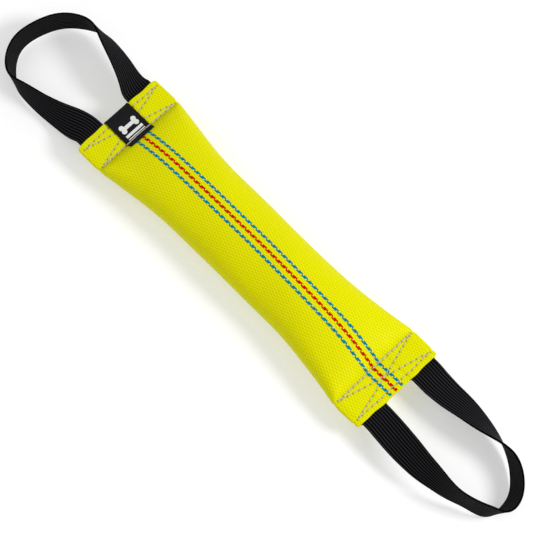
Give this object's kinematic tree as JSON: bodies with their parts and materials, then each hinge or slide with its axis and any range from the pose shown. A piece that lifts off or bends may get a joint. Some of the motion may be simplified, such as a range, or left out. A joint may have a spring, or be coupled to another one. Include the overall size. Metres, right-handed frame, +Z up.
{
  "type": "stuffed fire hose bite tug",
  "caption": "Stuffed length of flat woven fire hose with flat sewn hems, a webbing hand loop sewn into each end, coloured marker yarns and a folded label.",
  "frame": {"origin": "middle of the flat belly that the tug rests on, under the middle of the hose", "axes": "+X along the hose from the label end to the plain end, +Z up through the crown that carries the marker lines, +Y across the hose"},
  "size_m": [0.5493, 0.0864, 0.0443],
  "materials": {
    "hose_yellow": "woven polyester, slightly glossy",
    "lining_rubber": "matte",
    "filling_fibre": "loose fibre",
    "webbing_black": "ribbed woven webbing",
    "thread_light": "twisted thread",
    "label_black": "satin woven label",
    "emblem_white": "woven",
    "yarn_red": "woven yarn",
    "yarn_blue": "woven yarn"
  },
  "bodies": {
    "tug": {"filling": "filling_fibre", "hose_jacket": "hose_yellow", "hose_lining": "lining_rubber", "label": "label_black", "label_emblem": "emblem_white", "marker_line_left": "yarn_blue", "marker_line_middle": "yarn_red", "marker_line_right": "yarn_blue", "stitches_label_end_cross_one": "thread_light", "stitches_label_end_cross_two": "thread_light", "stitches_label_end_inner_row": "thread_light", "stitches_label_end_outer_row": "thread_light", "stitches_over_label": "thread_light", "stitches_plain_end_cross_one": "thread_light", "stitches_plain_end_cross_two": "thread_light", "stitches_plain_end_inner_row": "thread_light", "stitches_plain_end_outer_row": "thread_light", "webbing_tail_label_end_first": "webbing_black", "webbing_tail_label_end_second": "webbing_black", "webbing_tail_plain_end_first": "webbing_black", "webbing_tail_plain_end_second": "webbing_black"},
    "label_end_loop": {"hand_loop_label_end": "webbing_black"},
    "plain_end_loop": {"hand_loop_plain_end": "webbing_black"}
  },
  "joints": [
    {"name": "label_end_loop_fold", "type": "hinge", "parent": "tug", "child": "label_end_loop", "pos_m": [-0.1615, 0, 0.0215], "axis": [0, 1, 0], "range_deg": [-85, 95]},
    {"name": "plain_end_loop_fold", "type": "hinge", "parent": "tug", "child": "plain_end_loop", "pos_m": [0.1615, 0, 0.0215], "axis": [0, -1, 0], "range_deg": [-110, 110]}
  ]
}
